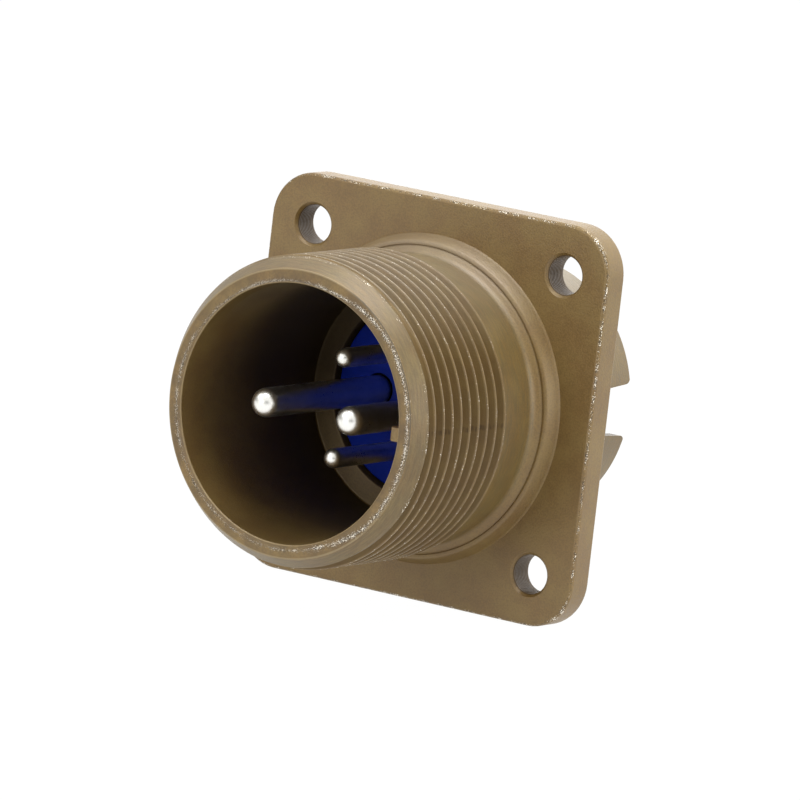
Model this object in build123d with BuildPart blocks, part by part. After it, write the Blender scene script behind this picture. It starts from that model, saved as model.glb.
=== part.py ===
"""Box-mounting circular receptacle, shell size 16, with four male contacts.

Millimetres. The mating axis is -Y and +Z is up. The origin is on the connector's axis,
at the flange's rear face, which lies against the panel.
"""

import os

from build123d import *

os.makedirs("parts", exist_ok=True)

# Flange
flange_side = 33.0
flange_thickness = 2.6
flange_corner_radius = 4.0
flange_edge_break = 0.3
hole_inset = 4.195
hole_diameter = 3.2
hole_edge_break = 0.2

# Barrel, with the outside of its coupling thread
barrel_length = 19.05
thread_diameter = 25.4
thread_pitch = 1.27
thread_length = 13.0
runout_length = 0.6
rim_diameter = 23.3
rim_chamfer_length = 1.65
neck_flare_length = 1.2
boss_front_diameter = 26.0
boss_base_diameter = 26.9
boss_height = 1.25

# Bore, with its draft, shoulder and polarising key
mouth_diameter = 21.0
bore_bottom_diameter = 20.2
shoulder_height = 0.5
shoulder_diameter = 16.4
shoulder_thickness = 1.4
key_width = 1.1
key_height = 1.5
key_setback = 1.0
key_corner_radius = 0.5

# Rear skirt, with four slots that give a soldering iron room
skirt_diameter = 21.6
skirt_length = 12.45
rear_bore_diameter = 19.5
slot_end_width = 4.4
slot_floor_width = 3.6
slot_land = 1.2
lobe_corner_radius = 0.8

# Insert halves, and the rib that stops them from turning
insert_face_setback = 0.5
insert_nose_clearance = 0.2
front_collar_length = 3.2
rear_insert_length = 3.1
rib_width = 1.8
rib_height = 0.9
seat_clearance = 0.05

# Retaining ring
ring_thickness = 0.8
ring_radial_width = 1.3
ring_gap = 3.4
groove_depth = 0.5
groove_play = 0.1

# Contacts
contact_circle_radius = 4.12
nose_ratio = 0.586
shank_lip = 0.2
collar_length = 1.2
collar_lip = 0.5
cup_setback = 0.55
cup_depth = 6.35
scoop_length = 2.7
large_pin_diameter = 2.39
large_pin_setback = 1.65
large_cup_bore = 2.54
small_pin_diameter = 1.59
small_pin_setback = 6.45
small_cup_bore = 1.7
cup_wall = 0.37

# Stations along Y, from the mouth to the rear end
flange_front = -flange_thickness
mouth = flange_front - barrel_length
thread_end = mouth + thread_length
boss_front = flange_front - boss_height
shoulder_front = flange_front - shoulder_height
shoulder_back = shoulder_front + shoulder_thickness
insert_face = shoulder_front + insert_face_setback
insert_split = shoulder_back + front_collar_length
insert_back = insert_split + rear_insert_length
groove_back = insert_back + ring_thickness + groove_play
slot_floor = groove_back + slot_land
skirt_end = skirt_length
cup_end = skirt_end - cup_setback

# Spacing and radii that follow from the sizes above
hole_spacing = flange_side - 2 * hole_inset
thread_radius = thread_diameter / 2
thread_depth = 0.6134 * thread_pitch
neck_radius = thread_radius - thread_depth
mouth_radius = mouth_diameter / 2
bore_bottom_radius = bore_bottom_diameter / 2
shoulder_radius = shoulder_diameter / 2
skirt_radius = skirt_diameter / 2
rear_bore_radius = rear_bore_diameter / 2
groove_radius = rear_bore_radius + groove_depth
rib_tip_radius = rear_bore_radius - rib_height
insert_radius = rear_bore_radius - seat_clearance
nose_radius = shoulder_radius - insert_nose_clearance
past_the_end = 1.0


def station(y):
    """A plane across the axis at y. Its normal points to the mouth, and its own y is +Z."""
    return Plane.XZ.offset(-y)


# Shell: one casting, from the threaded barrel to the slotted skirt
with BuildPart() as shell:
    with BuildSketch(Plane.XZ):
        RectangleRounded(flange_side, flange_side, flange_corner_radius)
    extrude(amount=flange_thickness)
    chamfer(shell.edges().group_by(Axis.Y)[0], flange_edge_break)
    chamfer(shell.edges().group_by(Axis.Y)[-1], flange_edge_break)
    with BuildSketch(Plane.XZ):
        with GridLocations(hole_spacing, hole_spacing, 2, 2):
            Circle(hole_diameter / 2)
    extrude(amount=flange_thickness, mode=Mode.SUBTRACT)
    front_rims = shell.edges(Select.LAST).filter_by(GeomType.CIRCLE).group_by(Axis.Y)[0]
    chamfer(front_rims, hole_edge_break)

    # The outside is turned about the axis: rim, thread, neck, boss and skirt
    with BuildSketch(Plane.XY):
        with BuildLine():
            Polyline(
                (0, mouth),
                (rim_diameter / 2, mouth),
                (thread_radius, mouth + rim_chamfer_length),
                (thread_radius, thread_end - runout_length),
                (neck_radius, thread_end),
                (neck_radius, boss_front - neck_flare_length),
                (boss_front_diameter / 2, boss_front),
                (boss_base_diameter / 2, flange_front),
                (boss_base_diameter / 2, flange_front / 2),
                (skirt_radius, flange_front / 2),
                (skirt_radius, skirt_end),
                (0, skirt_end),
                (0, mouth),
            )
        make_face()
    revolve(axis=Axis.Y)

    # The inside: drafted bore, shoulder, seat of the inserts and groove of the ring
    with BuildSketch(Plane.XY):
        with BuildLine():
            Polyline(
                (0, mouth),
                (mouth_radius, mouth),
                (bore_bottom_radius, shoulder_front),
                (shoulder_radius, shoulder_front),
                (shoulder_radius, shoulder_back),
                (rear_bore_radius, shoulder_back),
                (rear_bore_radius, insert_back),
                (groove_radius, insert_back),
                (groove_radius, groove_back),
                (rear_bore_radius, groove_back),
                (rear_bore_radius, skirt_end),
                (0, skirt_end),
                (0, mouth),
            )
        make_face()
    revolve(axis=Axis.Y, mode=Mode.SUBTRACT)

    # The polarising key stands on the wall of the bore, at three o'clock
    key_tip_radius = mouth_radius - key_height
    key_root_radius = (mouth_radius + neck_radius) / 2
    key_front = mouth + key_setback
    with BuildSketch(Plane.XY):
        with BuildLine():
            FilletPolyline(
                (key_root_radius, key_front),
                (key_tip_radius, key_front),
                (key_tip_radius, shoulder_front),
                radius=key_corner_radius,
            )
            Polyline(
                (key_tip_radius, shoulder_front),
                (key_root_radius, shoulder_front),
                (key_root_radius, key_front),
            )
        make_face()
    extrude(amount=key_width / 2, both=True)

    # The rib behind the shoulder holds the inserts at their angle
    rib_root_radius = (rear_bore_radius + skirt_radius) / 2
    with BuildSketch(station(shoulder_back)):
        with Locations(((rib_tip_radius + rib_root_radius) / 2, 0)):
            Rectangle(rib_root_radius - rib_tip_radius, rib_width)
    extrude(amount=shoulder_back - insert_back)

    # Four slots with drafted sides leave four lobes with rounded corners
    for side in (Plane.YZ, Plane.XY):
        with BuildSketch(Plane(origin=(0, 0, 0), x_dir=(0, 1, 0), z_dir=side.z_dir)):
            with BuildLine():
                Polyline(
                    (slot_floor, slot_floor_width / 2),
                    (skirt_end, slot_end_width / 2),
                    (skirt_end, -slot_end_width / 2),
                    (slot_floor, -slot_floor_width / 2),
                    close=True,
                )
            make_face()
        extrude(amount=skirt_radius + past_the_end, both=True, mode=Mode.SUBTRACT)
    lobe_ends = shell.edges().filter_by(GeomType.LINE).group_by(Axis.Y)[-1]
    fillet(lobe_ends, lobe_corner_radius)

shell.part.label = "shell"
export_step(shell.part, "parts/shell.step")


# Contacts: each is turned from one bar, with its pin, collar and solder cup
contacts = {
    "large_pin_right": (0, large_pin_diameter, large_pin_setback, large_cup_bore),
    "small_pin_top": (90, small_pin_diameter, small_pin_setback, small_cup_bore),
    "large_pin_left": (180, large_pin_diameter, large_pin_setback, large_cup_bore),
    "small_pin_bottom": (270, small_pin_diameter, small_pin_setback, small_cup_bore),
}


def contact_place(angle):
    """Where a contact's axis crosses the station planes, by its angle from +X towards +Z."""
    return Vector(contact_circle_radius, 0).rotate(Axis.Z, angle)


def shank_radius(pin_diameter):
    return pin_diameter / 2 + shank_lip


def barrel_radius(cup_bore):
    return cup_bore / 2 + cup_wall


def collar_radius(cup_bore):
    return barrel_radius(cup_bore) + collar_lip


def make_contact(angle, pin_diameter, pin_setback, cup_bore):
    """A pin with a chamfered nose, the collar that the inserts trap, and a scooped cup."""
    pin_radius = pin_diameter / 2
    tip = mouth + pin_setback
    nose_length = nose_ratio * pin_radius
    collar_front = insert_split - collar_length
    place = contact_place(angle)
    axis = Axis((place.X, 0, place.Y), (0, 1, 0))
    outward = Vector(1, 0, 0).rotate(Axis.Y, -angle)
    profile_plane = Plane(
        origin=(place.X, 0, place.Y), x_dir=outward, z_dir=outward.cross(Vector(0, 1, 0))
    )
    with BuildPart() as contact:
        with BuildSketch(profile_plane):
            with BuildLine():
                Polyline(
                    (0, tip),
                    (pin_radius - nose_length, tip),
                    (pin_radius, tip + nose_length),
                    (pin_radius, insert_face),
                    (shank_radius(pin_diameter), insert_face),
                    (shank_radius(pin_diameter), collar_front),
                    (collar_radius(cup_bore), collar_front),
                    (collar_radius(cup_bore), insert_split),
                    (barrel_radius(cup_bore), insert_split),
                    (barrel_radius(cup_bore), cup_end),
                    (cup_bore / 2, cup_end),
                    (cup_bore / 2, cup_end - cup_depth),
                    (0, cup_end - cup_depth),
                    close=True,
                )
            make_face()
        revolve(axis=axis)
        # The cup's outer half is scooped away, so the wire can be laid in from outside
        with BuildSketch(profile_plane):
            with BuildLine():
                Polyline(
                    (0, cup_end),
                    (0, cup_end - scoop_length + barrel_radius(cup_bore)),
                    (barrel_radius(cup_bore), cup_end - scoop_length),
                    (barrel_radius(cup_bore) + past_the_end, cup_end - scoop_length),
                    (barrel_radius(cup_bore) + past_the_end, cup_end),
                    close=True,
                )
            make_face()
        extrude(amount=barrel_radius(cup_bore) + past_the_end, both=True, mode=Mode.SUBTRACT)
    return contact.part


for name, sizes in contacts.items():
    contact = make_contact(*sizes)
    contact.label = name
    export_step(contact, f"parts/{name}.step")


# Front insert: its nose fills the shoulder, and its collar seats behind it
with BuildPart() as front_insert:
    with BuildSketch(station(insert_face)):
        Circle(nose_radius)
    extrude(amount=insert_face - shoulder_back)
    with BuildSketch(station(shoulder_back)):
        Circle(insert_radius)
    extrude(amount=shoulder_back - insert_split)
    for angle, pin_diameter, _, cup_bore in contacts.values():
        place = contact_place(angle)
        with BuildSketch(station(insert_face)):
            with Locations((place.X, place.Y)):
                Circle(shank_radius(pin_diameter) + seat_clearance)
        extrude(amount=insert_face - insert_split, mode=Mode.SUBTRACT)
        with BuildSketch(station(insert_split)):
            with Locations((place.X, place.Y)):
                Circle(collar_radius(cup_bore) + seat_clearance)
        extrude(amount=collar_length, mode=Mode.SUBTRACT)

# Rear insert: it closes on the collars of the contacts
with BuildPart() as rear_insert:
    with BuildSketch(station(insert_split)):
        Circle(insert_radius)
        for angle, _, _, cup_bore in contacts.values():
            place = contact_place(angle)
            with Locations((place.X, place.Y)):
                Circle(barrel_radius(cup_bore) + seat_clearance, mode=Mode.SUBTRACT)
    extrude(amount=insert_split - insert_back)

# Both halves have the keyway that takes the shell's rib
for name, insert in (("front_insert", front_insert), ("rear_insert", rear_insert)):
    keyway_floor = rib_tip_radius - seat_clearance
    with insert:
        with BuildSketch(station(shoulder_back)):
            with Locations(((keyway_floor + rear_bore_radius) / 2, 0)):
                Rectangle(rear_bore_radius - keyway_floor, rib_width + 2 * seat_clearance)
        extrude(amount=shoulder_back - insert_back, mode=Mode.SUBTRACT)
    insert.part.label = name
    export_step(insert.part, f"parts/{name}.step")


# Retaining ring: a flat spring ring, split where the rib is
with BuildPart() as retaining_ring:
    ring_radius = groove_radius - seat_clearance
    with BuildSketch(station(insert_back)):
        Circle(ring_radius)
        Circle(ring_radius - ring_radial_width, mode=Mode.SUBTRACT)
        Rectangle(
            ring_radius + past_the_end,
            ring_gap,
            align=(Align.MIN, Align.CENTER),
            mode=Mode.SUBTRACT,
        )
    extrude(amount=-ring_thickness)

retaining_ring.part.label = "retaining_ring"
export_step(retaining_ring.part, "parts/retaining_ring.step")
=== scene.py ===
# %% [markdown]
# # A box-mounting circular connector
#
# The CAD model of this connector says where everything is and how big it is: a square flange,
# a threaded barrel, a blue insert with four pins, and a slotted skirt behind. This file dresses
# it. It adds what a plain solid lacks: the real screw thread, soft cast edges, round noses on
# the pins, and finishes that show plating, wear and moulding. Everything is in metres, in the
# CAD model's own frame: the mating axis is -Y, +Z is up, and the key is at +X.

# %% Load the frame
import math
from functools import partial

import bmesh
import bpy
from mathutils import Matrix, Vector


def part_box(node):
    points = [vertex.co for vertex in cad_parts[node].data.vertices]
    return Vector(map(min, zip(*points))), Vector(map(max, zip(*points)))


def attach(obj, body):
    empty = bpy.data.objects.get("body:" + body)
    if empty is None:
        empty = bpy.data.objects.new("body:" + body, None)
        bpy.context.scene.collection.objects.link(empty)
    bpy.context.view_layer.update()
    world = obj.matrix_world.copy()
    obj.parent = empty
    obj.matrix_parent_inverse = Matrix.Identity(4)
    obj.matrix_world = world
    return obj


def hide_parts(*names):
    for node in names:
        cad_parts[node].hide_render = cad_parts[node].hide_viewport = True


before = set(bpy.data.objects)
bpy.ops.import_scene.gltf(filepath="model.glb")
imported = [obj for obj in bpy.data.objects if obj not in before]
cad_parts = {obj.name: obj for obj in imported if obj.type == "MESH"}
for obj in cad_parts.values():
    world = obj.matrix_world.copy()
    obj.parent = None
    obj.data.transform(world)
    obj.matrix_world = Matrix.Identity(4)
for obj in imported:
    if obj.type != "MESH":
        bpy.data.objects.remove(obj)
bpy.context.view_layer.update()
scene = bpy.context.scene
MM = 0.001
print("nodes:", ", ".join(sorted(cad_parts)))

# %% [markdown]
# ## Sizes
#
# The sizes are those of the CAD source, in millimetres. A station is a place along Y, counted
# from the rear face of the flange, so the mouth of the barrel has the lowest one. Only the
# small rounding radii further down are new, because the solids have sharp edges there.

# %% Sizes in millimetres
flange_side = 33.0
flange_thickness = 2.6
flange_corner_radius = 4.0
hole_spacing = 24.61
hole_radius = 1.6
mouth = -21.65
thread_end = -8.65
flange_front = -flange_thickness
boss_front = flange_front - 1.25
neck_back = -4.35
inside_plate = -1.2
shoulder_front = -3.1
shoulder_back = -1.7
insert_face = -2.6
insert_split = 1.5
insert_back = 4.6
groove_back = 5.5
slot_floor = 6.7
skirt_end = 12.45
cup_end = 11.9

thread_radius = 12.7
thread_pitch = 1.27
thread_depth = 0.6134 * thread_pitch
neck_radius = thread_radius - thread_depth
rim_radius = 11.65
rim_chamfer_length = 1.65
bead_radius = 13.45
mouth_radius = 10.5
bore_bottom_radius = 10.1
shoulder_radius = 8.2
skirt_radius = 10.8
rear_bore_radius = 9.75
groove_radius = 10.25
insert_radius = 9.7
nose_radius = 8.0
plate_opening_radius = 10.4
contact_circle_radius = 4.12
clearance = 0.05

thread_start_land = 0.2
key_height = 1.5
key_half_width = 0.55
rib_height = 0.9
rib_half_width = 0.9
ring_width = 1.3
ring_thickness = 0.8
ring_gap_half_width = 1.7
cup_depth = 6.35
scoop_length = 2.7

shell_low, shell_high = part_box("shell")
cad_side = round((shell_high.x - shell_low.x) / MM, 3)
print("shell: the CAD side is", cad_side, "mm, here", flange_side)
print("shell: the CAD mouth is at", round(shell_low.y / MM, 3), "mm, here", mouth)

# %% [markdown]
# ## Helpers for node trees
#
# Geometry trees and shader trees are built by the same few calls. `add` makes a node and fills
# its inputs. `calc` hands back the result of a Math operation, so that a formula reads from the
# inside out. `ramp` goes from one value to another while its input goes through a range. A
# socket knows the tree that it is in, so a formula only needs its values.

# %% Helpers for node trees
def new_tree(name, kind, inputs, outputs):
    """An empty node group, with its sockets given as (socket type, name, starting value)."""
    tree = bpy.data.node_groups.new(name, kind)
    for direction, sockets in (("INPUT", inputs), ("OUTPUT", outputs)):
        for socket_type, label, *value in sockets:
            socket = tree.interface.new_socket(
                name=label, in_out=direction, socket_type="NodeSocket" + socket_type
            )
            if value:
                socket.default_value = value[0]
    given = tree.nodes.new("NodeGroupInput").outputs
    result = tree.nodes.new("NodeGroupOutput").inputs
    return tree, given, result


def add(tree, kind, inputs=(), **settings):
    """A new node, with its properties set and its inputs filled by values or by links."""
    node = tree.nodes.new(kind)
    for name, value in settings.items():
        setattr(node, name, value)
    for socket, value in dict(inputs).items():
        if isinstance(value, bpy.types.NodeSocket):
            tree.links.new(value, node.inputs[socket])
        else:
            node.inputs[socket].default_value = value
    return node


def tell(owner):
    """Prints how many nodes a tree, or the tree of a finish or a room, has by now."""
    tree = getattr(owner, "node_tree", owner)
    print(owner.name, "has", len(tree.nodes), "nodes")


def calc(operation, *values):
    """The result of a Math operation on numbers and sockets, worked through from the left."""
    while len(values) > 2:
        values = (calc(operation, *values[:2]), *values[2:])
    tree = next(value.id_data for value in values if isinstance(value, bpy.types.NodeSocket))
    return add(tree, "ShaderNodeMath", enumerate(values), operation=operation).outputs[0]


plus = partial(calc, "ADD")
minus = partial(calc, "SUBTRACT")
times = partial(calc, "MULTIPLY")
largest = partial(calc, "MAXIMUM")
smallest = partial(calc, "MINIMUM")


def ramp(value, start, end, low=0.0, high=1.0, smooth=True):
    """A value that goes from low to high while the input goes from start to end."""
    inputs = {"Value": value, "From Min": start, "From Max": end, "To Min": low, "To Max": high}
    kind = "SMOOTHSTEP" if smooth else "LINEAR"
    node = add(value.id_data, "ShaderNodeMapRange", inputs, interpolation_type=kind)
    return node.outputs["Result"]


def between(value, start, full, fading, end):
    """1 from full to fading, 0 before start and after end, and a soft change in between."""
    return times(ramp(value, start, full), ramp(value, end, fading))


def length(a, b):
    """How far the point (a, b) is from the origin."""
    point = add(a.id_data, "ShaderNodeCombineXYZ", {"X": a, "Y": b}).outputs[0]
    node = add(a.id_data, "ShaderNodeVectorMath", {0: point}, operation="LENGTH")
    return node.outputs["Value"]


def beyond(value, reach):
    """How far a value is past plus or minus the reach."""
    return minus(calc("ABSOLUTE", value), reach)


def split(place):
    """The X, Y and Z of a place."""
    return add(place.id_data, "ShaderNodeSeparateXYZ", {0: place}).outputs


def scaled(place, *factors):
    """A place whose X, Y and Z are each multiplied by their own factor."""
    inputs = {0: place, 1: factors}
    return add(place.id_data, "ShaderNodeVectorMath", inputs, operation="MULTIPLY").outputs[0]


def noise(place, scale, detail, roughness=0.5):
    """Soft random spots, with values around 0.5. A larger scale gives smaller spots."""
    inputs = {"Vector": place, "Scale": scale, "Detail": detail, "Roughness": roughness}
    return add(place.id_data, "ShaderNodeTexNoise", inputs).outputs["Fac"]


# %% [markdown]
# ## Shared effects
#
# Three effects are used more than once, so each is a node group. `cast_grain` is the fine
# uneven skin of a plated or moulded surface. `edge_wear` turns the distance to an edge into
# scattered bright specks and dark pits, more in some stretches than in others, because real
# wear doesn't follow an edge evenly. `ring_distance` measures how far a point is from a circle
# round the connector's axis, such as the rim of the mouth, where that wear sits.

# %% Shader group: cast grain
grain_tree, given, result = new_tree(
    "cast_grain",
    "ShaderNodeTree",
    [("Vector", "Place in mm"), ("Float", "Grains per mm", 6.0), ("Float", "Waviness", 0.3)],
    [("Float", "Height"), ("Float", "Patches")],
)
fine = noise(given["Place in mm"], given["Grains per mm"], 3.0)
broad = noise(given["Place in mm"], 0.35, 4.0, roughness=0.6)
wave = times(broad, given["Waviness"])
grain_tree.links.new(plus(fine, wave), result["Height"])
grain_tree.links.new(ramp(broad, 0.35, 0.65), result["Patches"])
tell(grain_tree)

# %% Shader group: edge wear
wear_tree, given, result = new_tree(
    "edge_wear",
    "ShaderNodeTree",
    [
        ("Vector", "Place in mm"),
        ("Float", "Distance", 1.0),
        ("Float", "Reach", 0.3),
        ("Float", "Amount", 0.55),
        ("Float", "Specks per mm", 4.0),
        ("Float", "Least share", 0.75),
    ],
    [("Float", "Mask"), ("Float", "Pits")],
)
near = ramp(given["Distance"], 0.0, given["Reach"], 1.0, 0.0, smooth=False)
specks = noise(given["Place in mm"], given["Specks per mm"], 2.0, roughness=0.6)
stretches = noise(given["Place in mm"], 1.1, 2.0)
uneven = ramp(stretches, 0.35, 0.65, given["Least share"], 1.05)
reached = times(near, given["Amount"], uneven)
above = plus(minus(specks, 1.0), reached)
below = plus(minus(reached, specks), 0.055)
wear_tree.links.new(ramp(above, 0.0, 0.05), result["Mask"])
wear_tree.links.new(ramp(below, 0.0, 0.05), result["Pits"])
tell(wear_tree)

# %% Shader group: distance to a circle round the axis
ring_tree, given, result = new_tree(
    "ring_distance",
    "ShaderNodeTree",
    [("Vector", "Place in mm"), ("Float", "Radius", 10.0), ("Float", "Station", 0.0)],
    [("Float", "Distance"), ("Float", "From the axis")],
)
place = split(given["Place in mm"])
from_axis = length(place["X"], place["Z"])
across = minus(from_axis, given["Radius"])
along = minus(place["Y"], given["Station"])
ring_tree.links.new(length(across, along), result["Distance"])
ring_tree.links.new(from_axis, result["From the axis"])
tell(ring_tree)

# %% [markdown]
# ## Finishes
#
# A finish starts as an empty material with a Principled shader. Its pattern lives in Object
# coordinates, scaled to millimetres, so that a grain size can be written as it is measured.

# %% Helpers for finishes
def group(kind, place, **inputs):
    """One of the shared effects, used at a place in a material with its own values."""
    values = {label.replace("_", " "): value for label, value in inputs.items()}
    values["Place in mm"] = place
    return add(place.id_data, "ShaderNodeGroup", values, node_tree=kind).outputs


def new_finish(name, grains, waviness, **values):
    """A material with one Principled shader, the place on the object in millimetres, and grain."""
    material = bpy.data.materials.new(name)
    material.use_nodes = True
    tree = material.node_tree
    shader = tree.nodes["Principled BSDF"]
    for socket, value in values.items():
        shader.inputs[socket.replace("_", " ")].default_value = value
    coordinates = add(tree, "ShaderNodeTexCoord").outputs["Object"]
    place = scaled(coordinates, 1 / MM, 1 / MM, 1 / MM)
    grain = group(grain_tree, place, Grains_per_mm=grains, Waviness=waviness)
    return material, shader.inputs, place, grain


def blend(share, first, second):
    """A colour between two others. Each may be a socket or four numbers."""
    inputs = {0: share, 6: first, 7: second}
    return add(share.id_data, "ShaderNodeMix", inputs, data_type="RGBA").outputs[2]


def feed(shader, **values):
    """Links each value to the shader's input of that name."""
    for label, value in values.items():
        value.id_data.links.new(value, shader[label.replace("_", " ")])


def bump(shader, height, strength, depth):
    """Gives a finish a raised and sunken skin. The depth is in millimetres."""
    inputs = {"Strength": strength, "Distance": depth * MM, "Height": height}
    feed(shader, Normal=add(height.id_data, "ShaderNodeBump", inputs).outputs[0])


# %% [markdown]
# ### The plating of the shell
#
# The shell is a light alloy casting with an olive-drab plating, a satin khaki brown. How worn
# or dirty a spot is, and where shade and highlight are painted on it, depends on where it lies,
# so the finish begins with distances: from the axis, the rims of the mouth, the outline of the
# flange, the screw holes and the thread. They are worked out in the shader, because a flat has
# no vertices near its edges to carry a mask.

# %% Olive plating: where a spot lies
plating, shader, place, grain = new_finish("olive_plating", 7.0, 0.4, IOR=1.62)
axes = split(place)
x, y, z = (axes[name] for name in "XYZ")
rim_outside = group(ring_tree, place, Radius=rim_radius, Station=mouth)
rim_inside = group(ring_tree, place, Radius=mouth_radius, Station=mouth)
from_axis = rim_outside["From the axis"]
chamfer_back = mouth + rim_chamfer_length

# The outline of the flange is a square with round corners
corner_x = beyond(x, flange_side / 2 - flange_corner_radius)
corner_z = beyond(z, flange_side / 2 - flange_corner_radius)
round_part = length(largest(corner_x, 0.0), largest(corner_z, 0.0))
straight_part = smallest(largest(corner_x, corner_z), 0.0)
corner_arm = plus(round_part, straight_part)
outline = minus(corner_arm, flange_corner_radius)
from_front_edge = length(outline, minus(y, flange_front))
from_outline = smallest(from_front_edge, length(outline, y))

# The wall of a screw hole is drilled and dull, and painted shade darkens its colour
from_hole = length(beyond(x, hole_spacing / 2), beyond(z, hole_spacing / 2))
hole_wall = ramp(from_hole, hole_radius + 0.02, hole_radius + 0.06, 1.0, 0.0)

# The envelope is the outside of thread and chamfer, as if no groove were cut
outside = ramp(from_axis, mouth_radius + 0.05, mouth_radius + 0.15)
envelope = ramp(y, mouth, chamfer_back, rim_radius, thread_radius, smooth=False)
below_envelope = minus(envelope, from_axis)
below_crest = minus(thread_radius, from_axis)
before_neck = ramp(y, thread_end, thread_end - 0.1)
crest = times(ramp(below_crest, 0.14, 0.03), before_neck)
past_root = ramp(from_axis, neck_radius - 0.2, neck_radius - 0.1)
in_groove = times(ramp(below_envelope, 0.03, 0.14), before_neck, past_root)
tell(plating)

# %% [markdown]
# Wear comes next. The plating is rubbed through to bright metal along a line on the flat rim,
# which lies further out on the right and closer to the bore at the top left. More specks sit on
# the outline of the flange, at the end of the chamfer and on the crests of the thread, which the
# coupling ring has polished. Dark pits lie between the specks, and a thin dark line follows the
# outer rim on the right. The crests and both edges of the rim are lighter as well, partly polish
# and partly a painted highlight.

# %% Olive plating: wear and painted edge highlight
upper_left = minus(times(z, 0.94), times(x, 0.35))
worn_line = plus(ramp(upper_left, 7.0, 9.5, 0.45, 0.2), ramp(x, 4.0, 9.0, 0.0, 0.45))
from_worn_line = minus(rim_inside["Distance"], worn_line)
rim_wear = group(
    wear_tree,
    place,
    Distance=calc("ABSOLUTE", from_worn_line),
    Reach=0.9,
    Amount=ramp(x, -2.0, 7.0, ramp(z, -5.0, -9.0, 0.47, 0.44), 0.5),
    Specks_per_mm=15.0,
    Least_share=0.9,
)
outline_wear = group(
    wear_tree, place, Distance=from_outline, Reach=0.55, Amount=0.6, Specks_per_mm=12.0
)
along_chamfer = calc("ABSOLUTE", minus(y, chamfer_back - 0.2))
from_chamfer_end = plus(along_chamfer, times(below_envelope, 2.0))
chamfer_wear = group(
    wear_tree,
    place,
    Distance=from_chamfer_end,
    Reach=0.8,
    Amount=ramp(z, 5.0, -2.0, 0.44, 0.5),
    Specks_per_mm=12.0,
)
crest_wear = group(
    wear_tree, place, Distance=minus(1.0, crest), Reach=1.0, Amount=0.37, Specks_per_mm=11.0
)
rim_specks = times(rim_wear["Mask"], outside, ramp(x, -2.0, 7.0, 0.65, 0.95))
chamfer_specks = times(chamfer_wear["Mask"], outside)
worn = largest(rim_specks, outline_wear["Mask"], chamfer_specks, crest_wear["Mask"])
rim_line = times(
    ramp(rim_outside["Distance"], 0.11, 0.05),
    ramp(x, 3.0, 6.0, 0.0, 0.8),
    ramp(z, -7.0, 0.0),
)
rim_pits = times(rim_wear["Pits"], outside)
pits = largest(rim_pits, outline_wear["Pits"], rim_line)
# Polish on the crests, and a painted highlight with wear along both edges of the rim
from_rims = smallest(rim_outside["Distance"], rim_inside["Distance"])
rim_edge_wear_and_highlight = times(ramp(from_rims, 0.13, 0.04), 0.5)
polish_and_highlight = largest(times(crest, 0.06), rim_edge_wear_and_highlight)
tell(plating)

# %% [markdown]
# Painted shade darkens the plating down the bore, where little light gets in. Low in the bore
# the painted shade starts further in, it is weaker on the lower part of the shoulder, and more
# painted shade lies on the wall at its very top and bottom.

# %% Olive plating: painted shade down the bore
# Painted shade: where it is full, how strong it is on the shoulder, and where on the wall
shade_full_at = ramp(z, 2.0, -5.0, mouth + 11.0, mouth + 16.0)
shoulder_shade = ramp(z, -7.0, 2.0, 0.52, 0.95)
deep_shade = times(
    ramp(from_axis, mouth_radius + 0.3, mouth_radius + 0.1),
    ramp(y, mouth + 1.2, shade_full_at),
    ramp(y, shoulder_front - 0.2, shoulder_front - 0.1, 1.0, shoulder_shade),
)
shade_top_and_bottom = largest(ramp(z, 3.0, 10.0, 0.0, 0.6), ramp(z, -7.5, -10.5, 0.0, 0.45))
bore_wall = ramp(from_axis, mouth_radius + 0.1, mouth_radius - 0.02)
painted_bore_shade = largest(deep_shade, times(shade_top_and_bottom, bore_wall))
tell(plating)

# %% [markdown]
# Dirt sits in the grooves of the thread, in smudges and in fine scratches that run round the
# barrel, with a darker mark along the parting line of the mould. Painted shade deepens the
# grooves, less so on top, and darkens the barrel towards its mouth. A pale painted highlight
# lies on what faces up on the barrel and the skirt, and painted shade on the skirt's sides. The
# chamfer and the neck behind the thread are a little greyer, and painted shade darkens the inner
# edge of the rim.

# %% Olive plating: dirt, painted shade and painted highlight
parting_height = 0.5
smudges = noise(place, 0.6, 3.0)
scratches = noise(scaled(place, 0.7, 9.0, 0.7), 1.0, 2.0)
from_parting = calc("ABSOLUTE", minus(z, parting_height))
parting = times(
    ramp(from_parting, 0.32, 0.08, 0.0, 0.3),
    ramp(x, 0.0, 1.0),
    ramp(scratches, 0.35, 0.65, 1.3, 0.3),
)
groove_dirt_and_shade = plus(
    ramp(smudges, 0.35, 0.65, 0.4, 0.55),
    parting,
    ramp(scratches, 0.35, 0.65, 0.12, -0.12),
)
# In the grooves this is dirt and painted shade, with less painted shade towards the top
groove_dirt_and_shade = times(in_groove, groove_dirt_and_shade, ramp(z, 4.0, 12.0, 1.0, 0.4))
mottled = ramp(grain["Height"], 0.5, 0.85, 0.3, 0.0)
# Painted shade that darkens the barrel towards its mouth, in streaks
shade_to_mouth = times(ramp(y, -4.5, -12.0, 0.05, 0.28), outside, ramp(scratches, 0.3, 0.7, 0.2, 1.8))
facing_up = calc("DIVIDE", z, from_axis)
behind_flange = ramp(y, 0.3, 0.6)
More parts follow.
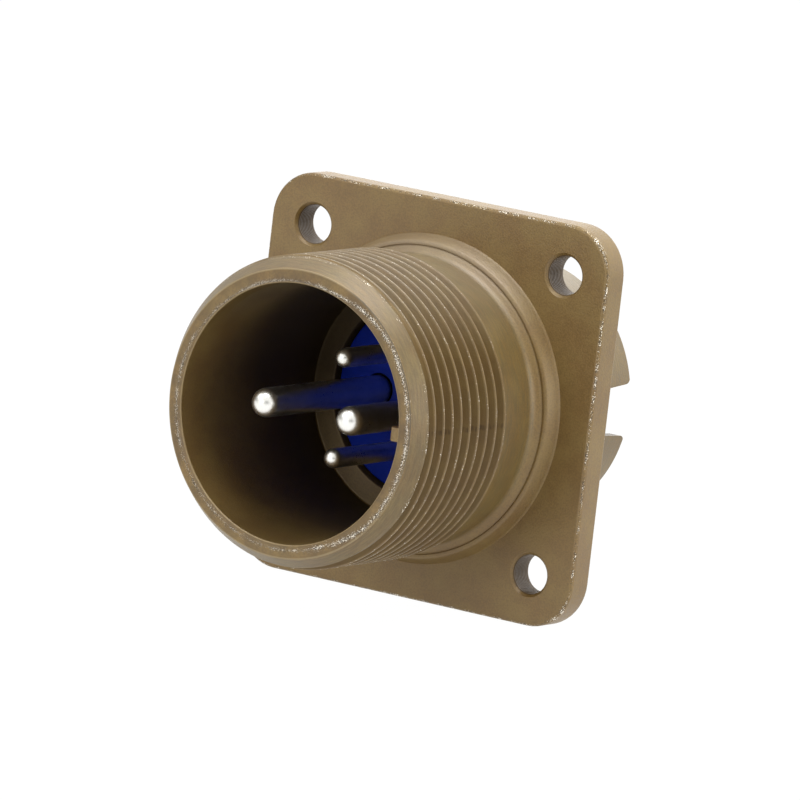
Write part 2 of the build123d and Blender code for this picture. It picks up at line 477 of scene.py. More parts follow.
# Painted highlight, pale, on what faces up on the barrel and the skirt
barrel_top_highlight = times(
    ramp(facing_up, 0.45, 1.0, 0.0, 0.22),
    between(y, chamfer_back, chamfer_back + 0.2, flange_front - 0.1, flange_front),
    ramp(from_axis, bead_radius + 0.2, bead_radius + 0.1),
)
skirt_top_highlight = times(ramp(facing_up, 0.6, 0.8, 0.0, 0.35), behind_flange)
top_highlight = largest(barrel_top_highlight, skirt_top_highlight)
at_neck = times(
    ramp(y, thread_end - 0.1, thread_end + 0.3),
    ramp(from_axis, neck_radius + 0.3, neck_radius + 0.05),
    outside,
    ramp(scratches, 0.3, 0.7, 0.06, 0.34),
)
on_chamfer = times(
    between(y, mouth + 0.1, mouth + 0.2, chamfer_back - 0.1, chamfer_back),
    outside,
    ramp(grain["Height"], 0.4, 0.8, 0.0, 0.24),
)
greyed = largest(at_neck, on_chamfer)
# Painted shade on the sides of the skirt
skirt_side_shade = times(ramp(facing_up, 0.5, 0.75, 0.14, 0.0), behind_flange)
# Painted shade along the inner edge of the rim
inner_edge_shade = times(ramp(rim_inside["Distance"], 0.45, 0.1, 0.0, 0.32), outside)
tell(plating)

# %% [markdown]
# Each of those shares now blends one more colour over the olive, from the plain plating up to
# the bare metal. The grain makes the skin uneven, and tool marks circle the walls of the holes.

# %% Olive plating: colour and skin
# A brown for dirt and for painted shade
grime_and_shade_brown = (0.085, 0.05, 0.015, 1)
colour = blend(grain["Patches"], (0.252, 0.150, 0.042, 1), (0.268, 0.172, 0.050, 1))
layers = [
    # mottling, and groove dirt with painted shade in the grooves
    (largest(mottled, groove_dirt_and_shade), grime_and_shade_brown),
    # painted shade towards the mouth of the barrel
    (shade_to_mouth, grime_and_shade_brown),
    # painted highlight on what faces up
    (top_highlight, (0.45, 0.41, 0.34, 1)),
    (greyed, (0.085, 0.10, 0.06, 1)),
    # painted shade on the skirt's sides
    (skirt_side_shade, grime_and_shade_brown),
    # painted shade along the inner edge of the rim
    (inner_edge_shade, grime_and_shade_brown),
    # painted shade down the bore
    (times(painted_bore_shade, 0.85), (0.034, 0.026, 0.017, 1)),
    # polish on the crests, and a painted highlight with wear on the rim's edges
    (polish_and_highlight, (0.45, 0.35, 0.19, 1)),
    # painted shade on the drilled walls of the screw holes
    (hole_wall, (0.13, 0.085, 0.042, 1)),
    (times(pits, 0.85), (0.04, 0.028, 0.015, 1)),
    (worn, (0.86, 0.80, 0.68, 1)),
]
for share, layer in layers:
    colour = blend(share, colour, layer)
half_lit = times(largest(hole_wall, in_groove), 0.6)
unlit = largest(painted_bore_shade, half_lit)
rough = ramp(grain["Height"], 0.4, 0.9, 0.34, 0.46)
feed(
    shader,
    Base_Color=colour,
    Metallic=ramp(worn, 0.0, 1.0, 0.15, 0.95),
    Specular_IOR_Level=ramp(unlit, 0.0, 1.0, 0.5, 0.1),
    Roughness=ramp(worn, 0.0, 1.0, rough, 0.25),
)
tool_marks = calc("SINE", times(y, 30.0))
marks = times(tool_marks, hole_wall, 1.5)
bump(shader, plus(grain["Height"], marks), strength=0.5, depth=0.035)
tell(plating)

# %% [markdown]
# ### Insert, contacts and ring
#
# The insert is a moulded plastic of a deep, slightly glossy blue. The contacts are silver
# plated over brass, turned, so they shine and have faint rings round them. Both are dark in the
# narrow gap round the foot of each pin, where no light gets in. The retaining ring is plain
# spring steel, punched flat.

# %% Finish: blue moulding
blue, shader, place, grain = new_finish("blue_moulding", 9.0, 0.2, IOR=1.3)
y = split(place)["Y"]
in_gap = between(y, insert_face + 0.01, insert_face + 0.05, 0.0, 0.5)
colour = blend(grain["Patches"], (0.003, 0.022, 0.33, 1), (0.004, 0.025, 0.38, 1))
feed(
    shader,
    Base_Color=blend(in_gap, colour, (0.001, 0.004, 0.04, 1)),
    Specular_IOR_Level=ramp(in_gap, 0.0, 1.0, 0.5, 0.02),
    Roughness=ramp(grain["Height"], 0.4, 0.9, 0.28, 0.42),
)
bump(shader, grain["Height"], strength=0.3, depth=0.01)
tell(blue)

# %% Finish: silver plate
silver, shader, place, grain = new_finish("silver_plate", 9.0, 0.8, Metallic=1.0)
y = split(place)["Y"]
in_gap = between(y, insert_face + 0.02, insert_face + 0.08, 0.5, 1.0)
colour = blend(grain["Patches"], (0.72, 0.71, 0.66, 1), (0.78, 0.77, 0.74, 1))
feed(
    shader,
    Base_Color=blend(in_gap, colour, (0.015, 0.015, 0.03, 1)),
    Roughness=ramp(grain["Height"], 0.4, 1.4, 0.26, 0.34),
)
turning = noise(scaled(place, 0.4, 14.0, 0.4), 1.0, 3.0)
bump(shader, turning, strength=0.12, depth=0.01)
tell(silver)

# %% Finish: spring steel
steel, shader, place, grain = new_finish("punched_steel", 4.0, 0.6, Metallic=1.0)
feed(
    shader,
    Base_Color=blend(grain["Patches"], (0.40, 0.39, 0.37, 1), (0.50, 0.49, 0.47, 1)),
    Roughness=ramp(grain["Height"], 0.4, 1.2, 0.28, 0.45),
)
bump(shader, grain["Height"], strength=0.3, depth=0.01)
tell(steel)

# %% [markdown]
# ## Turned forms
#
# Nearly everything here was turned, or cast in a turned mould: barrel, bore, pins, insert. A
# lathe in Geometry Nodes makes them all. Its input is a profile, a row of points that hold a
# radius in X and a station in Y. A grid has one column for each step round the axis and one row
# for each profile point, and every vertex looks up its own point and swings it round.

# %% Geometry tree: turned form
turned_tree, given, result = new_tree(
    "turned_form",
    "GeometryNodeTree",
    [("Geometry", "Profile"), ("Int", "Segments", 96), ("Material", "Finish")],
    [("Geometry", "Surface")],
)


def swing(tree, radius, station, column, segments):
    """A place at that radius and station, turned clockwise as seen from the mouth."""
    angle = times(calc("DIVIDE", column, segments), -2 * math.pi)
    x = times(radius, calc("COSINE", angle))
    z = times(radius, calc("SINE", angle))
    return add(tree, "ShaderNodeCombineXYZ", {"X": x, "Y": station, "Z": z}).outputs[0]


def hand_out(tree, mesh, finish, output):
    """Gives the mesh its finish and links it to the tree's output."""
    real = add(tree, "GeometryNodeRealizeInstances", {"Geometry": mesh}).outputs[0]
    finished = add(tree, "GeometryNodeSetMaterial", {"Geometry": real, "Material": finish})
    tree.links.new(finished.outputs[0], output)


def close_and_hand_out(tree, mesh, place, finish, output):
    """Puts the grid's vertices in place and closes its seam and poles."""
    moved = add(tree, "GeometryNodeSetPosition", {"Geometry": mesh, "Position": place}).outputs[0]
    merge = {"Geometry": moved, "Distance": 0.002 * MM}
    merged = add(tree, "GeometryNodeMergeByDistance", merge).outputs[0]
    hand_out(tree, merged, finish, output)


def point_count(tree, mesh):
    """How many points a mesh has."""
    inputs = {"Geometry": mesh}
    size = add(tree, "GeometryNodeAttributeDomainSize", inputs, component="MESH")
    return size.outputs["Point Count"]


def grid_with_rows(tree, segments, rows):
    """A grid, and the column and row number of each of its vertices."""
    sizes = {"Vertices X": plus(segments, 1.0), "Vertices Y": rows}
    mesh = add(tree, "GeometryNodeMeshGrid", sizes).outputs["Mesh"]
    index = add(tree, "GeometryNodeInputIndex").outputs[0]
    column = calc("FLOOR", calc("DIVIDE", index, rows))
    row = minus(index, times(column, rows))
    return mesh, column, row


def look_up(tree, profile, index):
    """The X and Y of one point of a profile."""
    inputs = {
        "Geometry": profile,
        "Value": add(tree, "GeometryNodeInputPosition").outputs[0],
        "Index": index,
    }
    sample = add(tree, "GeometryNodeSampleIndex", inputs, data_type="FLOAT_VECTOR", domain="POINT")
    return split(sample.outputs[0])


rows = point_count(turned_tree, given["Profile"])
mesh, column, row = grid_with_rows(turned_tree, given["Segments"], rows)
point = look_up(turned_tree, given["Profile"], row)
place = swing(turned_tree, point["X"], point["Y"], column, given["Segments"])
close_and_hand_out(turned_tree, mesh, place, given["Finish"], result["Surface"])
tell(turned_tree)

# %% [markdown]
# ## The screw thread
#
# The coupling thread is a real helix, 20 turns to the inch. It uses the same grid, but here one
# row follows the thread all the way round: going round once moves a vertex along by one pitch,
# so the last column meets the first one a whole turn further on, and the seam closes by itself.
# The row number says where in the thread's own profile a vertex is. At both ends the vertices
# are held at the end station. An envelope keeps the thread inside the rim's chamfer and lets
# it run out into the neck, as a die does. The grooves reach their depth at the chamfer's end.

# %% Geometry tree: screw thread
thread_tree, given, result = new_tree(
    "screw_thread",
    "GeometryNodeTree",
    [
        ("Geometry", "Thread form"),
        ("Int", "Segments", 96),
        ("Int", "Turns", 10),
        ("Float", "Pitch", 1.0),
        ("Float", "Phase", 0.0),
        ("Float", "Crest radius", 10.0),
        ("Float", "Depth", 1.0),
        ("Float", "Start", 0.0),
        ("Float", "Start radius", 9.0),
        ("Float", "Chamfer length", 1.0),
        ("Float", "End", 10.0),
        ("Float", "Run-out length", 1.0),
        ("Material", "Finish"),
    ],
    [("Geometry", "Surface")],
)
t = thread_tree
form_points = point_count(t, given["Thread form"])
rows = plus(times(form_points, given["Turns"]), 1.0)
mesh, column, row = grid_with_rows(t, given["Segments"], rows)
whole_turns = calc("FLOOR", calc("DIVIDE", row, form_points))
form_row = minus(row, times(whole_turns, form_points))
form = look_up(t, given["Thread form"], form_row)
part_turn = calc("DIVIDE", column, given["Segments"])
ahead = minus(given["Phase"], 2.0)
turns = plus(whole_turns, form["Y"], part_turn, ahead)
start = given["Start"]
crest_radius = given["Crest radius"]
station = plus(start, times(turns, given["Pitch"]))
station = smallest(largest(station, start), given["End"])
root = minus(crest_radius, given["Depth"])
from_start = minus(station, start)
run_in_start = times(given["Chamfer length"], 0.7)
run_in_end = times(given["Chamfer length"], 1.1)
depth = times(given["Depth"], ramp(from_start, run_in_start, run_in_end))
cut = minus(crest_radius, times(form["X"], depth))
chamfer_end = given["Chamfer length"]
chamfer = ramp(from_start, 0.0, chamfer_end, given["Start radius"], crest_radius, smooth=False)
to_end = minus(given["End"], station)
run_out = ramp(to_end, 0.0, given["Run-out length"], root, crest_radius, smooth=False)
radius = smallest(cut, chamfer, run_out)
place = swing(t, radius, station, column, given["Segments"])
close_and_hand_out(t, mesh, place, given["Finish"], result["Surface"])
tell(thread_tree)

# %% [markdown]
# ## Helpers for pieces
#
# `rounded` puts an arc in each corner of a profile, because a cast or turned edge is never
# quite sharp and it is the small arc that catches the light. `run_tree` runs a geometry tree
# and keeps the result as a plain mesh. `combine` joins or cuts solids with Blender's exact
# solver, which keeps them closed.

# %% Helpers for pieces
def rounded(*corners):
    """A path through (radius, station, rounding) corners, with an arc in each rounded one."""
    path = []
    for i, (x, y, *rounding) in enumerate(corners):
        here = Vector((x, y))
        if not rounding:
            path.append(here)
            continue
        before = (Vector(corners[i - 1][:2]) - here).normalized()
        after = (Vector(corners[(i + 1) % len(corners)][:2]) - here).normalized()
        half = before.angle(after) / 2
        middle = here + (before + after).normalized() * rounding[0] / math.sin(half)
        first = here + before * rounding[0] / math.tan(half) - middle
        last = here + after * rounding[0] / math.tan(half) - middle
        sweep = math.pi - 2 * half
        steps = max(3, min(24, round(sweep * rounding[0] / 0.08)))
        for step in range(steps + 1):
            share = step / steps
            arm = first * math.sin((1 - share) * sweep) + last * math.sin(share * sweep)
            path.append(middle + arm / math.sin(sweep))
    return path


def rectangle(low_a, high_a, low_b, high_b):
    """The four corners of a rectangle."""
    return [(low_a, low_b), (high_a, low_b), (high_a, high_b), (low_a, high_b)]


def own_mesh(obj):
    """Keeps what the object's modifiers make as its own plain mesh."""
    depsgraph = bpy.context.evaluated_depsgraph_get()
    mesh = bpy.data.meshes.new_from_object(obj.evaluated_get(depsgraph), depsgraph=depsgraph)
    mesh.name = obj.name
    obj.modifiers.clear()
    obj.data = mesh
    return obj


def new_object(name, points, faces, finish):
    """A mesh object at the origin, from points in millimetres."""
    mesh = bpy.data.meshes.new(name)
    mesh.from_pydata([Vector(p) * MM for p in points], [], faces)
    mesh.materials.append(finish)
    obj = bpy.data.objects.new(name, mesh)
    scene.collection.objects.link(obj)
    return obj


def run_tree(obj, geometry_tree, finish, **inputs):
    """Runs a geometry tree on an object's points, and keeps the result as a plain mesh."""
    modifier = obj.modifiers.new(geometry_tree.name, "NODES")
    modifier.node_group = geometry_tree
    inputs["Finish"] = finish
    for socket in geometry_tree.interface.items_tree:
        label = socket.name.replace(" ", "_").replace("-", "_")
        if socket.in_out == "INPUT" and label in inputs:
            modifier[socket.identifier] = inputs[label]
    return own_mesh(obj)


def point_row(name, points, finish):
    """An object that holds a path as loose points, ready for a geometry tree."""
    return new_object(name, [(x, y, 0) for x, y in points], [], finish)


def turned(name, path, segments, finish):
    """A closed turned form about the connector's axis."""
    row = point_row(name, path, finish)
    return closed(run_tree(row, turned_tree, finish, Segments=segments))


def closed(obj):
    """Merges what touches and turns every face outwards. It says if the skin has a gap."""
    work = bmesh.new()
    work.from_mesh(obj.data)
    bmesh.ops.remove_doubles(work, verts=work.verts, dist=0.002 * MM)
    bmesh.ops.recalc_face_normals(work, faces=work.faces)
    gaps = sum(not edge.is_manifold for edge in work.edges)
    work.to_mesh(obj.data)
    work.free()
    if gaps:
        print(obj.name, "has", gaps, "open edges")
    return obj


def prism(name, outline, half_depth, finish, place=lambda a, b, depth: (a, b, depth)):
    """A straight block with that outline. place turns (a, b, depth) into a point."""
    count = len(outline)
    points = [place(a, b, depth) for depth in (-half_depth, half_depth) for a, b in outline]
    sides = [(i, (i + 1) % count, (i + 1) % count + count, i + count) for i in range(count)]
    faces = [tuple(range(count)), tuple(range(count, 2 * count))] + sides
    return closed(new_object(name, points, faces, finish))


def combine(target, operation, *tools):
    """Joins the tools to the target, or cuts them from it, and removes them."""
    for tool in tools:
        modifier = target.modifiers.new(tool.name, "BOOLEAN")
        modifier.operation = operation
        modifier.solver = "EXACT"
        modifier.object = tool
        own_mesh(target)
        bpy.data.objects.remove(tool)
    return target


def soften(obj, angle=35):
    """Smooth shading with crisp edges, where large flats keep their own direction."""
    obj.data.shade_smooth()
    obj.data.set_sharp_from_angle(angle=math.radians(angle))
    modifier = obj.modifiers.new("weighted", "WEIGHTED_NORMAL")
    modifier.keep_sharp = True
    return own_mesh(obj)


def hand_over(obj, *nodes, slot):
    """Ties a finished piece to the frame, in place of the CAD nodes that it stands for."""
    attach(obj, "root")
    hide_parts(*nodes)
    triangles = sum(len(face.vertices) - 2 for face in obj.data.polygons)
    print(obj.name, "stands for", ", ".join(nodes), "with", triangles, "triangles")


# %% [markdown]
# ## The shell
#
# The shell is one casting, so it is one piece. Its turned skin runs from the mouth down the
# bore, past the shoulder to the end of the skirt, and back along the outside to the neck. The
# thread closes the gap between the neck and the rim. The profile crosses the faces of the
# flange plate at a slant, so that the join leaves a small fillet there.

# %% Turned skin of the shell
segments = 240
thread_start = mouth + thread_start_land
chamfer_rise = thread_start_land * (thread_radius - rim_radius) / rim_chamfer_length
thread_start_radius = rim_radius + chamfer_rise
skin_path = rounded(
    (thread_start_radius, thread_start),
    (rim_radius, mouth, 0.12),
    (mouth_radius, mouth, 0.15),
    (bore_bottom_radius, shoulder_front, 0.15),
    (shoulder_radius, shoulder_front, 0.15),
    (shoulder_radius, shoulder_back),
    (rear_bore_radius, shoulder_back),
    (rear_bore_radius, insert_back),
    (groove_radius, insert_back),
    (groove_radius, groove_back),
    (rear_bore_radius, groove_back),
    (rear_bore_radius, skirt_end, 0.12),
    (skirt_radius, skirt_end, 0.2),
    (skirt_radius, 0.25, 0.5),
    (skirt_radius + 0.4, -0.15),
    (skirt_radius + 0.4, inside_plate),
    (bead_radius + 0.2, inside_plate),
    (bead_radius + 0.2, flange_front + 0.15),
    (bead_radius, flange_front - 0.15, 0.2),
    (bead_radius - 0.5, boss_front, 0.4),
    (bead_radius - 0.77, boss_front, 0.02),
    (bead_radius - 0.84, boss_front + 0.09, 0.05),
    (bead_radius - 1.0, boss_front - 0.08, 0.4),
    (neck_radius, neck_back, 1.0),
    (neck_radius, thread_end),
)
skin = point_row("threaded_shell", skin_path, plating)
run_tree(skin, turned_tree, plating, Segments=segments)
print("skin:", len(skin_path), "profile points")

# %% [markdown]
# The thread form is one pitch long. Depth is counted from the crest, as a share of the whole
# depth, and the place along the axis as a share of the pitch. Extra points at crest and root
# round them off, because the plating has softened them.

# %% Thread of the shell
half_form = [(0.0, 0.0), (0.0, 0.045), (0.05, 0.075), (0.16, 0.11), (0.86, 0.375), (0.97, 0.43)]
thread_form = half_form + [(1.0, 0.5)] + [(depth, 1 - along) for depth, along in half_form[:0:-1]]
thread = point_row("thread", [(depth / MM, along / MM) for depth, along in thread_form], plating)
run_tree(
    thread,
    thread_tree,
    plating,
    Segments=segments,
    Turns=math.ceil((thread_end - thread_start) / thread_pitch) + 2,
    Pitch=thread_pitch * MM,
    Phase=0.5,
    Crest_radius=thread_radius * MM,
    Depth=thread_depth * MM,
    Start=thread_start * MM,
    Start_radius=thread_start_radius * MM,
    Chamfer_length=(rim_chamfer_length - thread_start_land) * MM,
    End=thread_end * MM,
    Run_out_length=0.6 * MM,
)
work = bmesh.new()
work.from_mesh(skin.data)
work.from_mesh(thread.data)
work.to_mesh(skin.data)
work.free()
bpy.data.objects.remove(thread)
closed(skin)
print("skin with thread:", len(skin.data.polygons), "faces")

# %% [markdown]
# The plate is a rounded square whose edges are rounded too. Each row of its outline is the same
# rounded square, a little smaller near the faces, so the corners stay evenly round. Its middle
# is cut out, inside the wall of the turned skin, so that the bore stays open.

# %% Flange plate
def rounded_square(side, corner_radius, steps=12):
    """Points of a square with round corners, the same number for every side length."""
    centre = side / 2 - corner_radius
    points = []
    for turn in range(4):
        for step in range(steps + 1):
            angle = (turn + step / steps) * math.pi / 2
            cx = centre if turn in (0, 3) else -centre
            cz = centre if turn in (0, 1) else -centre
            x = cx + corner_radius * math.cos(angle)
            z = cz + corner_radius * math.sin(angle)
            points.append((x, z))
    return points


def flange_plate(edge_radius=0.32, edge_steps=4):
    """The flange as a closed block, with a quarter round along its front and rear edges."""
    levels = []
    for end, station in ((-1, flange_front), (1, 0.0)):
        arc = []
        for step in range(edge_steps + 1):
            angle = step / edge_steps * math.pi / 2
            inset = edge_radius * (1 - math.sin(angle))
            arc.append((station - end * edge_radius * (1 - math.cos(angle)), inset))
        levels += arc if end < 0 else arc[::-1]
    points = []
    for station, inset in levels:
        ring = rounded_square(flange_side - 2 * inset, flange_corner_radius - inset)
        points += [(x, station, z) for x, z in ring]
    count = len(ring)
    faces = [tuple(range(count)), tuple(range(len(points) - count, len(points)))]
    for level in range(len(levels) - 1):
        for i in range(count):
            a, b = level * count + i, level * count + (i + 1) % count
            faces.append((a, b, b + count, a + count))
    return closed(new_object("flange", points, faces, plating))


plate = flange_plate()
opening_path = rectangle(0, plate_opening_radius, flange_front - 1, 1)
combine(plate, "DIFFERENCE", turned("opening", opening_path, 96, plating))
print("plate:", len(plate.data.polygons), "faces")

# %% [markdown]
# Four screw holes go through the flange. One cutter is turned, and a small tree sets a copy of
# it on each corner of the hole pattern.

# %% Geometry tree: a copy at each corner
corners_tree, given, result = new_tree(
    "at_each_corner",
    "GeometryNodeTree",
    [("Geometry", "Form"), ("Float", "Spacing", 1.0), ("Material", "Finish")],
    [("Geometry", "Copies")],
)
t = corners_tree
square = {"Size X": given["Spacing"], "Size Y": given["Spacing"], "Vertices X": 2, "Vertices Y": 2}
pattern = add(t, "GeometryNodeMeshGrid", square).outputs["Mesh"]
upright = {"Geometry": pattern, "Rotation": (math.pi / 2, 0, 0)}
pattern = add(t, "GeometryNodeTransform", upright).outputs[0]
repeat = {"Points": pattern, "Instance": given["Form"]}
copies = add(t, "GeometryNodeInstanceOnPoints", repeat).outputs[0]
hand_out(t, copies, given["Finish"], result["Copies"])

hole_path = rounded(
    (0, flange_front - 0.6),
    (hole_radius + 0.85, flange_front - 0.6),
    (hole_radius, flange_front + 0.25, 0.2),
    (hole_radius, -0.2, 0.2),
    (hole_radius + 0.5, 0.3),
    (0, 0.3),
)
holes = turned("holes", hole_path, 64, plating)
run_tree(holes, corners_tree, plating, Spacing=hole_spacing * MM)
print("hole cutters:", len(holes.data.polygons), "faces")

# %% [markdown]
# The key in the bore and the rib behind the shoulder are straight blocks. The slots of the
# skirt are cut by two blocks whose outline flares at the end, which leaves the four lobes with
# round corners.

# %% Key, rib and slots
key_tip = mouth_radius - key_height
key_root = (mouth_radius + neck_radius) / 2
key_path = rounded(
    (key_root, mouth + 1.0),
    (key_tip, mouth + 1.0, 0.5),
    (key_tip, shoulder_front + 0.1),
    (key_root, shoulder_front + 0.1),
)
key = prism("key", key_path, key_half_width, plating)
rib_tip = rear_bore_radius - rib_height
rib_root = (rear_bore_radius + skirt_radius) / 2
rib_front = shoulder_back - 0.1
rib_path = [
    (rib_tip, rib_front),
    (rib_tip, insert_back),
    (rib_root, insert_back),
    (rib_root, rib_front),
]
rib = prism("rib", rib_path, rib_half_width, plating)
half_slot = rounded(
    (slot_floor, 0),
    (slot_floor, 1.8, 0.3),
    (skirt_end + 0.02, 2.2, 0.8),
    (skirt_end + 0.02, 3.2),
    (skirt_end + 1, 3.2),
)
slot_path = half_slot + [(y, -w) for y, w in half_slot[:0:-1]]
reach = skirt_radius + 1
slot_x = prism("slot_x", slot_path, reach, plating, lambda y, w, x: (x, y, w))
slot_z = prism("slot_z", slot_path, reach, plating, lambda y, w, z: (w, y, z))
shell = combine(skin, "UNION", plate, key, rib)
shell = combine(shell, "DIFFERENCE", holes, slot_x, slot_z)
soften(closed(shell))
hand_over(shell, "shell", slot="plated_shell")

# %% [markdown]
# ## The contacts
#
# A contact is turned from one bar: a pin with a round nose, a collar that the two halves of the
# insert trap, and a hollow solder cup with its outer half scooped away. It is made on the axis
# with the scoop towards +X, then turned and moved to its place.

# %% Contacts
contact_sizes = {
    "large_pin_right": (0, 1.195, mouth + 1.65, 1.27),
    "small_pin_top": (90, 0.795, mouth + 6.45, 0.85),
    "large_pin_left": (180, 1.195, mouth + 1.65, 1.27),
    "small_pin_bottom": (270, 0.795, mouth + 6.45, 0.85),
}
cup_wall = 0.37
shank_lip = 0.2
lip_setback = 0.3
collar_lip = 0.5
collar_front = insert_split - 1.2


def contact_place(angle):
    """Where a contact's axis is, by its angle from +X towards +Z, in millimetres."""
    turn = math.radians(angle)
    return contact_circle_radius * Vector((math.cos(turn), 0, math.sin(turn)))


def new_contact(name, angle, pin, tip, cup):
    """One contact at its place. pin and cup are radii, tip is the station of its nose."""
    barrel = cup + cup_wall
    path = rounded(
        (0, tip),
        (pin, tip, pin * 0.999),
        (pin, insert_face + lip_setback),
        (pin + shank_lip, insert_face + lip_setback, 0.05),
        (pin + shank_lip, collar_front),
        (barrel + collar_lip, collar_front),
        (barrel + collar_lip, insert_split),
        (barrel, insert_split),
        (barrel, cup_end, 0.12),
        (cup, cup_end, 0.08),
        (cup, cup_end - cup_depth, 0.2),
        (0, cup_end - cup_depth),
    )
    contact = turned(name, path, 72, silver)
    scoop_path = rounded(
        (0, cup_end + 1),
        (0, cup_end - scoop_length + barrel, 0.6),
        (barrel, cup_end - scoop_length),
        (barrel + 1, cup_end - scoop_length),
        (barrel + 1, cup_end + 1),
    )
    combine(contact, "DIFFERENCE", prism("scoop", scoop_path, barrel + 1, silver))
    contact.data.transform(Matrix.Rotation(-math.radians(angle), 4, "Y"))
    contact.data.transform(Matrix.Translation(contact_place(angle) * MM))
    return soften(closed(contact))


for name, (angle, pin, tip, cup) in contact_sizes.items():
    contact = new_contact(name + "_turned", angle, pin, tip, cup)
    hand_over(contact, name, slot="silver_contact")

# %% [markdown]
# ## The insert
#
# Both halves of the insert are discs with a hole for each contact and a keyway for the rib of
# the shell. The front half shows its face at the bottom of the bore. There each hole is only a
# little wider than its pin, so that a thin dark line circles the pin's foot.

# %% Insert halves
def cut_for_contacts(disc, profile_of):
    """Cuts a turned hole round each contact, with a profile that depends on its sizes."""
    # A slight turn keeps the disc's edges from lying exactly on those of a cutter
    disc.data.transform(Matrix.Rotation(0.01, 4, "Y"))
    for angle, pin, _, cup in contact_sizes.values():
        cutter = turned("cutter", profile_of(pin, cup), 64, blue)
        cutter.data.transform(Matrix.Translation(contact_place(angle) * MM))
        combine(disc, "DIFFERENCE", cutter)
    keyway = rib_tip - clearance
    path = rectangle(keyway, keyway + 3, -4, 6)
    cutter = prism("keyway", path, rib_half_width + clearance, blue)
    return soften(closed(combine(disc, "DIFFERENCE", cutter)))


def front_holes(pin, cup):
    """The hole of the front half: a chamfered mouth, a shank bore and room for the collar."""
    shank = pin + shank_lip + clearance
    collar = cup + cup_wall + collar_lip + clearance
    return rounded(
        (0, insert_face - 0.4),
        (pin + 0.6, insert_face - 0.4),
        (pin + 0.12, insert_face + 0.08, 0.05),
        (pin + 0.12, insert_face + lip_setback - clearance),
        (shank, insert_face + lip_setback - clearance),
        (shank, collar_front - clearance),
        (collar, collar_front - clearance),
        (collar, insert_split + 1),
        (0, insert_split + 1),
    )


def rear_holes(_, cup):
    """The hole of the rear half, just wide enough for the cup's outside."""
    hole = cup + cup_wall + clearance
    return rounded(
        (0, insert_split - 1),
        (hole, insert_split - 1),
        (hole, insert_back - 0.25, 0.1),
        (hole + 0.65, insert_back + 0.4),
        (0, insert_back + 0.4),
    )


front_path = rounded(
    (0, insert_face),
    (nose_radius, insert_face, 0.15),
    (nose_radius, shoulder_back),
    (insert_radius, shoulder_back, 0.1),
    (insert_radius, insert_split, 0.1),
    (0, insert_split),
)
front = cut_for_contacts(turned("front_insert_moulded", front_path, 160, blue), front_holes)
hand_over(front, "front_insert", slot="blue_insert")
rear_path = rounded(
    (0, insert_split),
    (insert_radius, insert_split, 0.1),
    (insert_radius, insert_back, 0.2),
    (0, insert_back),
)
rear = cut_for_contacts(turned("rear_insert_moulded", rear_path, 160, blue), rear_holes)
hand_over(rear, "rear_insert", slot="blue_insert")

# %% [markdown]
# ## The retaining ring
#
# A flat spring ring sits in the groove of the skirt. It is turned with soft edges, and its gap
# is sawn out where the rib is.

# %% Retaining ring
ring_outside = groove_radius - clearance
ring_inside = ring_outside - ring_width
ring_back = insert_back + ring_thickness
seam = (ring_inside, insert_back + ring_thickness / 2)
ring_path = rounded(
    seam,
    (ring_inside, insert_back, 0.1),
    (ring_outside, insert_back, 0.1),
    (ring_outside, ring_back, 0.1),
    (ring_inside, ring_back, 0.1),
    seam,
)
ring = turned("spring_ring", ring_path, 160, steel)
gap_path = rectangle(5, 12, insert_back - 1, insert_back + 2)
gap = prism("gap", gap_path, ring_gap_half_width, steel)
soften(closed(combine(ring, "DIFFERENCE", gap)))
hand_over(ring, "retaining_ring", slot="spring_steel")

# %% [markdown]
# ## Floor, light and camera
#
# The connector stands on a white floor that only keeps a faint shadow. Satin metal asks for
# large soft lamps: one high on the left in front, a strong one above, one on the right a little
# behind, and one in front that reaches the insert down the bore. The metal mirrors a white room
# that is brighter behind the connector, and darker at the left and on the camera's side, so
# that the bore stays dark.

# %% Floor
def white(tree, kind, strength):
    """White light of that strength, from an emission or a background."""
    return add(tree, kind, {"Color": (1, 1, 1, 1), "Strength": strength}).outputs[0]


def grey_paper(tree, value):
    """A plain matt surface of that grey."""
    return add(tree, "ShaderNodeBsdfDiffuse", {"Color": (value, value, value, 1)}).outputs[0]


def either(tree, share, first, second):
    """The first shader where the share is 0, and the second where it is 1."""
    return add(tree, "ShaderNodeMixShader", {0: share, 1: first, 2: second}).outputs[0]


floor_height = -16.6
floor_reach = 4000
corners = rectangle(-floor_reach, floor_reach, -floor_reach, floor_reach)
floor = new_object(
    "floor",
    [(x, y, floor_height) for x, y in corners],
    [(0, 1, 2, 3)],
    bpy.data.materials.new("white_floor"),
)
floor.data.materials[0].use_nodes = True
tree = floor.data.materials[0].node_tree
tree.nodes.clear()
rays = add(tree, "ShaderNodeLightPath").outputs
glow = white(tree, "ShaderNodeEmission", ramp(rays["Is Glossy Ray"], 0.0, 1.0, 0.36, 0.9))
lit = add(tree, "ShaderNodeAddShader", {0: glow, 1: grey_paper(tree, 0.4)}).outputs[0]
plain = white(tree, "ShaderNodeEmission", 0.995)
seen = add(tree, "ShaderNodeAddShader", {0: plain, 1: grey_paper(tree, 0.03)}).outputs[0]
output = add(tree, "ShaderNodeOutputMaterial")
tree.links.new(either(tree, rays["Is Camera Ray"], lit, seen), output.inputs[0])
print("floor at", floor_height, "mm")

# %% Room
def facing(tree, direction):
    """How much a direction in the room agrees with the given one, from -1 to 1."""
    inputs = {0: add(tree, "ShaderNodeTexCoord").outputs["Generated"], 1: direction}
    return add(tree, "ShaderNodeVectorMath", inputs, operation="DOT_PRODUCT").outputs["Value"]


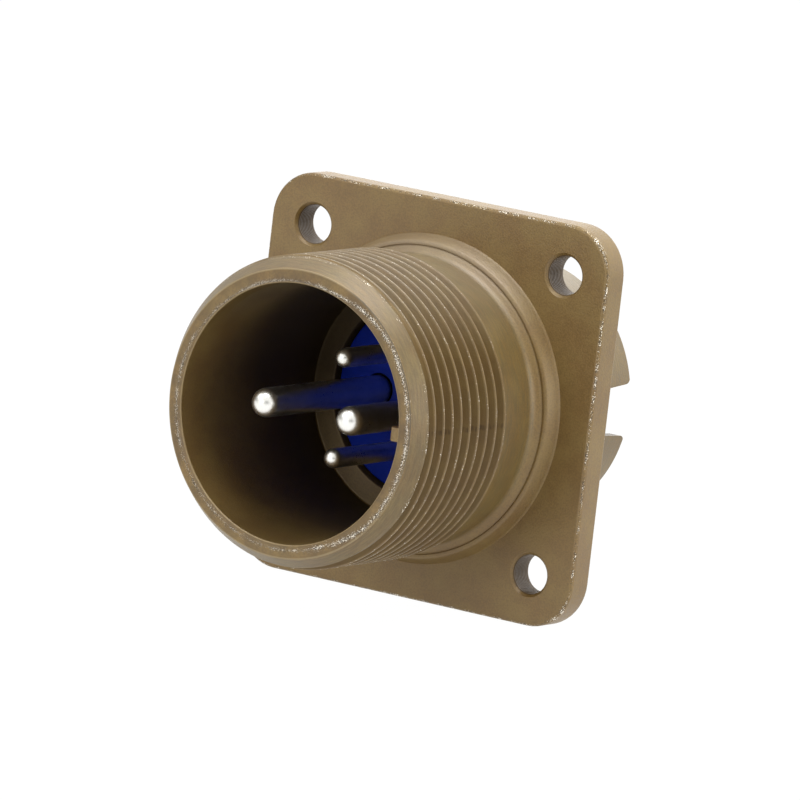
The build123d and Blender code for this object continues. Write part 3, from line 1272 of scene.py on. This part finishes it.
room = bpy.data.worlds.new("room")
scene.world = room
room.use_nodes = True
tree = room.node_tree
tree.nodes.clear()
to_camera = facing(tree, (0.55, -0.83, 0.0))
leftwards = facing(tree, (-1.0, 0.0, 0.0))
mirrored = times(
    ramp(to_camera, 0.9, 0.985, 1.3, 0.2),
    ramp(to_camera, -0.2, -0.5, 1.0, 1.7),
    ramp(leftwards, 0.5, 0.85, 1.0, 0.35),
)
walls = white(tree, "ShaderNodeBackground", mirrored)
fill = white(tree, "ShaderNodeBackground", ramp(to_camera, 0.1, 0.75, 0.42, 0.02))
plain = white(tree, "ShaderNodeBackground", 1.0)
rays = add(tree, "ShaderNodeLightPath").outputs
shiny = largest(rays["Is Glossy Ray"], rays["Is Transmission Ray"])
around = either(tree, shiny, fill, walls)
output = add(tree, "ShaderNodeOutputWorld")
tree.links.new(either(tree, rays["Is Camera Ray"], around, plain), output.inputs[0])
tell(room)

# %% Lamps
def lamp(name, place, size, power, aim=(0, -0.01, 0)):
    """A soft square lamp that looks at the connector."""
    light = bpy.data.lights.new(name, "AREA")
    light.size = size
    light.energy = power
    obj = bpy.data.objects.new(name, light)
    obj.location = place
    obj.rotation_euler = (Vector(aim) - Vector(place)).to_track_quat("-Z", "Y").to_euler()
    scene.collection.objects.link(obj)
    print(name, "gives", power, "W over", size, "m")


lamp("key_lamp", (-0.27, -0.33, 0.33), 0.3, 0.46)
lamp("top_lamp", (0.05, -0.03, 0.5), 0.4, 2.2)
lamp("side_lamp", (0.5, 0.02, 0.12), 0.3, 0.75)
lamp("front_lamp", (-0.1, -0.7, 0.1), 0.15, 0.64)

# %% Camera
camera_distance = 825
camera_shift_left = 1.6575
camera_shift_down = 0.1293
camera_data = bpy.data.cameras.new("camera")
camera_data.sensor_width = 36
camera_data.lens = 455.9
camera_data.clip_start = 0.01
camera_data.clip_end = 10
camera = bpy.data.objects.new("camera", camera_data)
scene.collection.objects.link(camera)
scene.camera = camera
azimuth, elevation, roll = (math.radians(angle) for angle in (32.858, 8.773, 6.55))
back = Vector(
    (
        math.sin(azimuth) * math.cos(elevation),
        -math.cos(azimuth) * math.cos(elevation),
        math.sin(elevation),
    )
)
level = Vector((math.cos(azimuth), math.sin(azimuth), 0))
right = math.cos(roll) * level + math.sin(roll) * back.cross(level)
up = back.cross(right)
spot = Vector((0, flange_front, 0)) + camera_distance * back
spot -= camera_shift_left * right + camera_shift_down * up
turn = Matrix((right, up, back)).transposed().to_4x4()
camera.matrix_world = Matrix.Translation(spot * MM) @ turn
scene.view_settings.view_transform = "Standard"
print("camera stands", round(camera.location.length, 3), "m from the connector")
